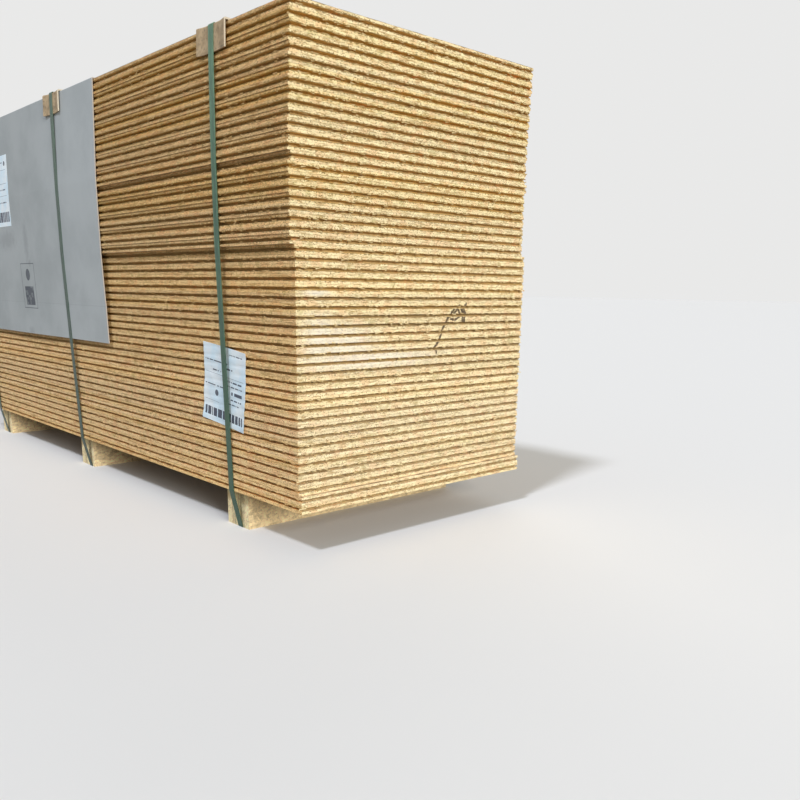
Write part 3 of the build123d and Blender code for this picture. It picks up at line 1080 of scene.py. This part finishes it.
def protector_material():
    """Grey-brown solid board with damp spots and a pale layered cut edge."""
    material, tree, shader = new_material("protector_board", roughness=0.72)
    place = place_of(tree)
    cloud = noise_at(place, 55.0, detail=5.0)
    damp = remap(noise_at(place, 170.0, detail=3.0), 0.54, 0.68, 0.0, DAMP_SHARE)
    colour = blend(remap(cloud, 0.36, 0.66), ANGLE_PALE, ANGLE_BROWN)
    colour = blend(damp, colour, DAMP_COLOUR)
    y, z = parts(place, "YZ")
    layers = calc("SINE", (y - z) * LAYERS_PER_METRE)
    on_end = abs(parts(normal_of(tree))[0]) > 0.6
    colour = blend(on_end, colour, blend(remap(layers, -1.0, 1.0), LAYER_DARK, LAYER_PALE))
    paint(shader, colour, cloud, 0.5 * MM)
    return material


def bend_protector(shape, node):
    """The straight wings eased into a curve, and crumpled a little."""
    low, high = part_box(node)
    middle = (low.x + high.x) / 2
    outward = math.copysign(1.0, low.y + high.y)
    for vert in shape.verts:
        out = min(1.0, max(0.0, (abs(vert.co.x - middle) - FLAT_HALF) / (PROTECTOR_HALF - FLAT_HALF)))
        ease = out ** FLARE_POWER - out
        vert.co.y += outward * FLARE * ease
        vert.co.z += LIFT * ease
        dent = noise.noise(vert.co * 60.0) * CRUMPLE * min(1.0, out * 3)
        vert.co.y += outward * dent
        vert.co.z += dent


board = protector_material()
for node in PROTECTORS:
    angle = sliced_copy(node, (5 * MM, 6 * MM, 6 * MM))
    bend_protector(angle, node)
    finish_copy(angle, node.replace("edge_protector", "pinched_angle"), node, board)

# %% [markdown]
# The labels are paper, and their print is kept general. Each mark is a window on the label's own
# coordinates, so it is sharp at any size. A table lists the rows of dark blocks and ruled lines,
# and a row of plain bars and a dot complete them.

# %% Label print
PAPER, PAPER_SKY_AND_SHADE, INK = (0.93, 1.0, 1.0, 1), (0.76, 0.93, 1.0, 1), (0.035, 0.04, 0.07, 1)
LINE_INK, BLOCK_INK, DOT_INK, THIN_LINE = 0.65, 0.95, 0.9, 2
BAR_MARGIN, BAR_WIDTH, BAR_SHARE, BAR_SEED = 8 * MM, 3.4 * MM, 0.58, 40.0
DOT_RADIUS, DOT_RIM = 7 * MM, 0.5 * MM
PAPER_RELIEF = 2.5 * MM
PANEL_ROWS = [  # height and both ends in mm from the middle, thickness, block width, share inked
    (72, 20, 70, 2.2, 3.0, 0.6), (50, -78, 12, 2.6, 3.4, 0.75), (40, 6, 34, 3.5, 4.0, 0.7),
    (30, -50, -14, 3.0, 4.0, 0.5), (22, -78, 76, 0.9, 3.0, 1.0), (14, 6, 70, 3.5, 3.4, 0.7),
    (4, 10, 72, 2.6, 3.0, 0.6), (-4, -78, 0, 2.4, 3.6, 0.75), (-10, 30, 74, 7.0, 6.0, 0.55),
    (-24, 28, 70, 3.0, 3.4, 0.6), (-34, 20, 60, 2.4, 3.0, 0.6), (-40, -78, -20, 0.9, 3.0, 1.0)]
SHEET_ROWS = [
    (84, -60, 30, 4.0, 5.0, 0.7), (62, -60, 60, 1.2, 3.0, 1.0), (40, -60, 0, 3.5, 4.0, 0.6),
    (22, -60, 60, 1.2, 3.0, 1.0), (4, -60, 50, 3.5, 4.0, 0.6), (-14, -60, 60, 1.2, 3.0, 1.0),
    (-34, -20, 50, 3.5, 4.0, 0.6)]
# bars: bottom and top of the row of bars. dot: middle of the dot. Both in mm from the label's middle
PANEL_LABEL = SimpleNamespace(
    node="panel_label", half=84 * MM, tilt=6.0, rows=PANEL_ROWS, bars=(-74, -55), dot=(-30, -20), seed=5.0)
SHEET_LABEL = SimpleNamespace(
    node="sheet_label", half=74 * MM, tilt=0.0, rows=SHEET_ROWS, bars=(-92, -62), dot=(50, 80), seed=9.0)


def middle_of(node):
    """The middle of a node's box."""
    low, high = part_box(node)
    return (low + high) / 2


def label_ink(x, z, label):
    """Where the label is inked, in coordinates from its middle."""
    ink = 0.0
    for row, (up, left, right, thick, cell, share) in enumerate(label.rows):
        inside = (window(z, (up - thick / 2) * MM, (up + thick / 2) * MM)
                  * window(x, left * MM, right * MM))
        if share < 1:
            inside = inside * plain_bars(x, cell * MM, share, label.seed + row)
        ink = calc("MAXIMUM", ink, inside * (LINE_INK if thick < THIN_LINE else BLOCK_INK))
    bars = (window(z, label.bars[0] * MM, label.bars[1] * MM)
            * window(x, -label.half + BAR_MARGIN, label.half - BAR_MARGIN))
    bars = bars * plain_bars(x, BAR_WIDTH, BAR_SHARE, label.seed + BAR_SEED)
    ink = calc("MAXIMUM", ink, bars * BLOCK_INK)
    away = calc("DISTANCE", vector_of(x, z), (label.dot[0] * MM, label.dot[1] * MM, 0))
    return calc("MAXIMUM", ink, remap(away, DOT_RADIUS - DOT_RIM, DOT_RADIUS + DOT_RIM, DOT_INK, 0.0))


def label_material(label):
    """Paper with plain print and patches of painted sky light and shade, turned as the label is."""
    material, tree, shader = new_material(label.node + "_paper", roughness=0.42, specular=0.3)
    place = place_of(tree) + tuple(-middle_of(label.node))
    turned = add(tree, "ShaderNodeVectorRotate", {
        "Vector": place, "Angle": math.radians(-label.tilt)}, rotation_type="Y_AXIS")
    x, z = parts(Field(turned.outputs[0]), "XZ")
    wash = noise_at(place, 22.0, detail=4.0)
    # The blue patches are painted sky light and shade on the paper.
    colour = blend(remap(wash, 0.35, 0.65), PAPER, PAPER_SKY_AND_SHADE)
    paint(shader, blend(label_ink(x, z, label), colour, INK), wash, PAPER_RELIEF)
    return material


# %% [markdown]
# The label on the boards spans the grooves, dips a little into each of them, and its free corners
# curl away from the strap that holds it. The label on the cover is stuck flat, so it only follows
# the cover's bulge.

# %% Labels
LABEL_DIP, LABEL_CURL, LABEL_RIPPLE, RIM_WAVE = 0.5 * MM, 5 * MM, 1.2 * MM, 3 * MM
CURL_ACROSS, CURL_UP = 85 * MM, 88 * MM


def lay_on_grooves(shape, label):
    """Paper that dips at each groove and curls at the corners away from the strap."""
    centre = middle_of(label.node)
    for vert in shape.verts:
        share = ((vert.co.z - deck) / PITCH) % 1.0
        dip = max(0.0, 1 - abs(share - 0.5) / 0.3)
        away = max(0.0, abs(vert.co.x - strap_lines[0]) / CURL_ACROSS - 0.5)
        corner = max(0.0, abs(vert.co.z - centre.z) / CURL_UP - 0.45)
        ripple = LABEL_RIPPLE * noise.noise(Vector((vert.co.x * 40, 0, vert.co.z * 40)))
        vert.co.y += LABEL_DIP * dip - LABEL_CURL * away * corner * 2 - max(0.0, ripple) * min(1, away * 4)
        rim = min(1.0, abs(vert.co.x - centre.x) / label.half) ** 6
        side = math.copysign(2, vert.co.x - centre.x)
        vert.co.x += RIM_WAVE * rim * noise.noise(Vector((1.7, vert.co.z * 26, side)))


paper = sliced_copy(PANEL_LABEL.node, (6 * MM, 0, 3 * MM))
lay_on_grooves(paper, PANEL_LABEL)
finish_copy(paper, "board_label", PANEL_LABEL.node, label_material(PANEL_LABEL))
paper = sliced_copy(SHEET_LABEL.node, (8 * MM, 0, 8 * MM))
push_out(paper)
finish_copy(paper, "cover_label", SHEET_LABEL.node, label_material(SHEET_LABEL))

# %% [markdown]
# Some things on the pack repeat by the thousand, such as strands and splinters. Geometry Nodes
# make them: a tree of nodes scatters a small shape over a carrier mesh, with a random size and turn
# for each. The tree has named inputs for its sizes. A modifier runs it, and what it makes is kept
# as a plain mesh.

# %% Geometry trees


def open_shape_tree(name, inputs):
    """A new geometry tree's inputs as fields, from their names, kinds and usual values."""
    tree = bpy.data.node_groups.new(name, "GeometryNodeTree")
    tree.interface.new_socket("Geometry", in_out="INPUT", socket_type="NodeSocketGeometry")
    for socket, (kind, value) in inputs.items():
        made = tree.interface.new_socket(socket, in_out="INPUT", socket_type="NodeSocket" + kind)
        made.default_value = value
    tree.interface.new_socket("Geometry", in_out="OUTPUT", socket_type="NodeSocketGeometry")
    entry = tree.nodes.new("NodeGroupInput").outputs
    return {socket: Field(entry[socket]) for socket in ("Geometry", *inputs)}


def close_shape_tree(geometry, material):
    """The tree that the geometry belongs to, closed with its material."""
    coated = step("SetMaterial", geometry.tree, Geometry=geometry, Material=material)
    put(coated, geometry.tree.nodes.new("NodeGroupOutput").inputs["Geometry"])
    return geometry.tree


def step(kind, tree, settings=None, **inputs):
    """The first output of a geometry node, with its inputs by name. An underscore is a space."""
    values = {name.replace("_", " "): value for name, value in inputs.items()}
    return Field(add(tree, "GeometryNode" + kind, values, **(settings or {})).outputs[0])


def position_in(tree):
    """The place of the point that is being worked on."""
    return step("InputPosition", tree)


def draw_between(tree, low, high, seed):
    """A random number or vector for each point."""
    is_vector = isinstance(low, tuple)
    first = 0 if is_vector else 2
    made = add(tree, "FunctionNodeRandomValue", {first: low, first + 1: high, 8: seed},
               data_type="FLOAT_VECTOR" if is_vector else "FLOAT")
    return Field(made.outputs[0 if is_vector else 1])


def kept_between(low, place, high):
    """A place pushed back into a box."""
    return calc("MINIMUM", calc("MAXIMUM", place, low), high)


def made_by(tree, carrier, name, values=None):
    """The plain mesh that a tree makes of a carrier mesh, as a piece on the body."""
    base = new_object(name + "_carrier", carrier)
    modifier = base.modifiers.new(name, "NODES")
    modifier.node_group = tree
    for socket, value in (values or {}).items():
        modifier[tree.interface.items_tree[socket].identifier] = value
    graph = bpy.context.evaluated_depsgraph_get()
    mesh = bpy.data.meshes.new_from_object(base.evaluated_get(graph), preserve_all_data_layers=True,
                                           depsgraph=graph)
    bpy.data.objects.remove(base)
    add_piece(name, mesh)


# %% [markdown]
# Where the top board is bare, its strands are real shapes, because a low light shows their rims. The
# tree scatters points on a plane the size of the bare part, puts a thin flake on each, turns most
# of them along the board, and pushes back to the sawn outline whatever reaches past it. Each flake
# is tilted a little, because two flakes in one plane would shade each other black. Each keeps a
# random tone and its own coordinates, so that its grain runs along it.

# %% Flakes
FLAKE_LENGTH, FLAKE_WIDTH, FLAKE_THICKNESS = 95 * MM, 15 * MM, 0.3 * MM
FLAKES_PER_SQUARE_METRE = 3600.0
FLAKE_STRETCH = (0.55, 0.45, 1.0), (1.35, 1.5, 1.0)
FLAKE_TILTS = (0.012, 16), (0.0025, 17)  # limit in radians, seed
FLAKE_GRAIN, FLAKE_GRAIN_SWING, FLAKE_GRAIN_BY_TONE, FLAKE_RELIEF = (30.0, 900.0), 0.9, 90.0, 0.2 * MM
RAGGED_ENDS = (14 * MM, 7 * MM, 0)
UNDER_SHEET = 70 * MM


def attribute_of(tree, name, output):
    """A value that a mesh keeps at each point."""
    return Field(add(tree, "ShaderNodeAttribute", attribute_name=name).outputs[output])


def flake_material():
    """Strands with a tone each and a grain along them."""
    material, tree, shader = new_material("top_strands", roughness=0.62)
    tone = attribute_of(tree, "tone", "Fac")
    x, y = parts(attribute_of(tree, "own_place", "Vector"), "XY")
    own_place = vector_of(x * FLAKE_GRAIN[0], y * FLAKE_GRAIN[1], tone * FLAKE_GRAIN_BY_TONE)
    grain = noise_at(own_place, detail=3.0)
    colour = blend((grain - 0.5) * FLAKE_GRAIN_SWING + tone, FACE_DARK, FACE_PALE)
    paint(shader, colour, grain, FLAKE_RELIEF)
    return material


def flake_shape(entry):
    """One flake, which keeps its own coordinates."""
    tree = entry["Length"].tree
    size = vector_of(entry["Length"], entry["Width"], FLAKE_THICKNESS)
    box = step("MeshCube", tree, Size=size, Vertices_X=5, Vertices_Y=3)
    return step("StoreNamedAttribute", tree, {"data_type": "FLOAT_VECTOR", "domain": "POINT"},
                Geometry=box, Name="own_place", Value=position_in(tree))


def flakes_on(points, flake):
    """Flakes on points, with a random turn, tilt, size, tone and height each."""
    tree = points.tree
    stray = draw_between(tree, -1.4, 1.4, 12) * 0.8
    angle = draw_between(tree, -0.5, 0.5, 11) + calc("POWER", stray, 3.0)
    tilt = [draw_between(tree, -limit, limit, seed) for limit, seed in FLAKE_TILTS]
    spread = step("InstanceOnPoints", tree, Points=points, Instance=flake,
                  Rotation=vector_of(*tilt, angle), Scale=draw_between(tree, *FLAKE_STRETCH, 13))
    toned = step("StoreNamedAttribute", tree, {"data_type": "FLOAT", "domain": "INSTANCE"},
                 Geometry=spread, Name="tone", Value=draw_between(tree, 0.2, 1.0, 14))
    rise = vector_of(0.0, 0.0, draw_between(tree, -0.10 * MM, 0.12 * MM, 15))
    raised = step("TranslateInstances", tree, Instances=toned, Translation=rise)
    return step("RealizeInstances", tree, Geometry=raised)


def flake_tree(material):
    """Flakes scattered on a plane and cut off at its outline."""
    entry = open_shape_tree("top_strands", {
        "Density": ("Float", FLAKES_PER_SQUARE_METRE), "Length": ("Float", FLAKE_LENGTH),
        "Width": ("Float", FLAKE_WIDTH), "Low": ("Vector", tuple(top_low)),
        "High": ("Vector", tuple(top_high)), "Seed": ("Int", 4)})
    tree = entry["Seed"].tree
    points = step("DistributePointsOnFaces", tree, Mesh=entry["Geometry"], Density=entry["Density"],
                  Seed=entry["Seed"])
    flakes = flakes_on(points, flake_shape(entry))
    here = position_in(tree)
    ragged = noise_at(here, 90.0, detail=1.0, output="Color")
    jag = (ragged + (-0.5, -0.5, -0.5)) * RAGGED_ENDS
    x, y = parts(kept_between(entry["Low"], here + jag, entry["High"]), "XY")
    cut = step("SetPosition", tree, Geometry=flakes, Position=vector_of(x, y, parts(here)[2]))
    return close_shape_tree(cut, material)


bare_top = rectangle("bare_top", sheet_high.x - UNDER_SHEET, top_high.x, top_low.y, top_high.y, top)
made_by(flake_tree(flake_material()), bare_top, "top_strands")

# %% [markdown]
# The groove cutter also tears splinters out of its mouth. A bump can't stand out over the dark
# groove as they do, so they are real slivers, thick at one end. First the carrier: the lips of all
# the boards on one side. Then the finish: fresh pale wood, browner high up where the lips are more
# torn, and on the long side with that side's tint and its painted light and shade.

# %% Lips and splinter wood
SPLINTER_LEVELS = (0.85, 0.40)


def lips(axis):
    """The lips of all the boards' sawn sides that face along an axis, as one mesh."""
    shape = bmesh.new()
    for name in PANELS:
        shape.from_mesh(nodes[name].data)
    others = []
    for face in shape.faces:
        share = ((face.calc_center_median().z - deck) / PITCH) % 1.0
        if abs(face.normal[axis]) < 0.7 or abs(share - 0.5) < CORE_HALF:
            others.append(face)
    bmesh.ops.delete(shape, geom=others, context="FACES")
    return mesh_of(shape, "lips")


def splinter_material():
    """Fresh wood, a tone for each splinter."""
    material, tree, shader = new_material("splinter_wood", roughness=0.8)
    place = place_of(tree)
    x, z = parts(place, "XZ")
    height = z - deck
    hue = noise_at(place, 300.0)
    level = (hue - 0.5) * 0.8 + attribute_of(tree, "tone", "Fac")
    colour = blend(level * remap(height, *TEAR_AND_LIGHT_HEIGHTS, *SPLINTER_LEVELS), CORE_COLOUR, EDGE_PALE)
    normal_x, normal_y = parts(normal_of(tree), "XY")
    on_long_side = abs(normal_y) > abs(normal_x)
    colour = blend(on_long_side, colour, long_side_tint_and_shade(x, height), kind="MULTIPLY")
    paint(shader, colour, hue, 0.2 * MM)
    return material


# %% [markdown]
# The splinters' tree scatters points over the lips, keeps only those that are close to a mouth and
# away from what covers the boards, moves them a little way over the mouth, and lays a sliver on
# each, along the edge with a small random turn. The same tree makes both sides. The short side gets
# about twice as many to the square metre, because there the saw crossed most of the strands.

# %% Splinters
SPLINTERS = {"short_side_splinters": (0, 43000.0), "long_side_splinters": (1, 22000.0)}  # per square metre
SPLINTER_LENGTH, SPLINTER_THICKNESS, SPLINTER_HEIGHT = 11 * MM, 0.6 * MM, 2.4 * MM
SPLINTER_STRETCH = (0.35, 0.5, 0.4), (1.3, 1.3, 1.3)
SPLINTER_STRAY = (-0.08, -0.08, -0.16), (0.08, 0.08, 0.16)
THICK_END, TAPER = 0.57, 0.86
OVER_MOUTH, STAND_OUT = -2.0 * MM, (-0.25 * MM, 0.35 * MM)
MOUTH_REACH, COVER_MARGIN = 0.255, 8 * MM
COVERS = ["cover_sheet", "panel_label"] + STRAPS + PROTECTORS


def inside_box(position, name, margin):
    """1 inside a frame node's box, grown by the margin."""
    low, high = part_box(name)
    centre, half = (low + high) / 2, (high - low) / 2
    away = abs(position + tuple(-centre))
    x, y, z = parts(tuple(size + margin for size in half) - away)
    return calc("MINIMUM", calc("MINIMUM", x, y), z) > 0.0


def sliver(entry):
    """A thin bar along X, thick at one end."""
    tree = entry["Length"].tree
    size = vector_of(entry["Length"], entry["Thickness"], entry["Height"])
    x, y, z = parts(position_in(tree))
    taper = THICK_END - x / entry["Length"] * TAPER
    return step("SetPosition", tree, Geometry=step("MeshCube", tree, Size=size),
                Position=vector_of(x, y * taper, z * taper))


def points_at_mouths(entry):
    """Points close to the mouths of the grooves, and the way the surface looks at each."""
    tree = entry["Density"].tree
    scatter = add(tree, "GeometryNodeDistributePointsOnFaces", {
        "Mesh": entry["Geometry"], "Density": entry["Density"], "Seed": entry["Seed"]}).outputs
    normal = Field(scatter["Normal"])
    place = position_in(tree)
    from_middle = calc("FRACT", (parts(place)[2] - deck) / PITCH) - 0.5
    dropped = abs(from_middle) > MOUTH_REACH
    for cover in COVERS:
        dropped = calc("MAXIMUM", dropped, inside_box(place, cover, COVER_MARGIN))
    kept = step("DeleteGeometry", tree, {"domain": "POINT"}, Geometry=Field(scatter["Points"]),
                Selection=dropped)
    inward = calc("SIGN", from_middle) * draw_between(tree, OVER_MOUTH, 0.0, 21)
    out = scaled(normal, draw_between(tree, *STAND_OUT, 22))
    return step("SetPosition", tree, Geometry=kept, Offset=out + vector_of(0.0, 0.0, inward)), normal


def splinter_tree(material):
    """Slivers along the mouths of the grooves."""
    entry = open_shape_tree("splinters", {
        "Density": ("Float", 0.0), "Length": ("Float", SPLINTER_LENGTH),
        "Thickness": ("Float", SPLINTER_THICKNESS), "Height": ("Float", SPLINTER_HEIGHT),
        "Low": ("Vector", tuple(cad_box[0])), "High": ("Vector", tuple(cad_box[1])), "Seed": ("Int", 7)})
    tree = entry["Seed"].tree
    points, normal = points_at_mouths(entry)
    side = calc("SIGN", draw_between(tree, -1.0, 1.0, 26))
    along = scaled(calc("CROSS_PRODUCT", normal, (0, 0, 1)), side)
    turn = add(tree, "FunctionNodeAxesToRotation", {
        "Primary Axis": along + draw_between(tree, *SPLINTER_STRAY, 23), "Secondary Axis": (0, 0, 1)},
        primary_axis="X", secondary_axis="Z")
    spread = step("InstanceOnPoints", tree, Points=points, Instance=sliver(entry),
                  Rotation=Field(turn.outputs[0]), Scale=draw_between(tree, *SPLINTER_STRETCH, 24))
    toned = step("StoreNamedAttribute", tree, {"data_type": "FLOAT", "domain": "INSTANCE"},
                 Geometry=spread, Name="tone", Value=draw_between(tree, 0.1, 1.0, 25))
    solid = step("RealizeInstances", tree, Geometry=toned)
    inside = kept_between(entry["Low"], position_in(tree), entry["High"])
    return close_shape_tree(step("SetPosition", tree, Geometry=solid, Position=inside), material)


splinters = splinter_tree(splinter_material())
for name, (axis, density) in SPLINTERS.items():
    made_by(splinters, lips(axis), name, {"Density": density})
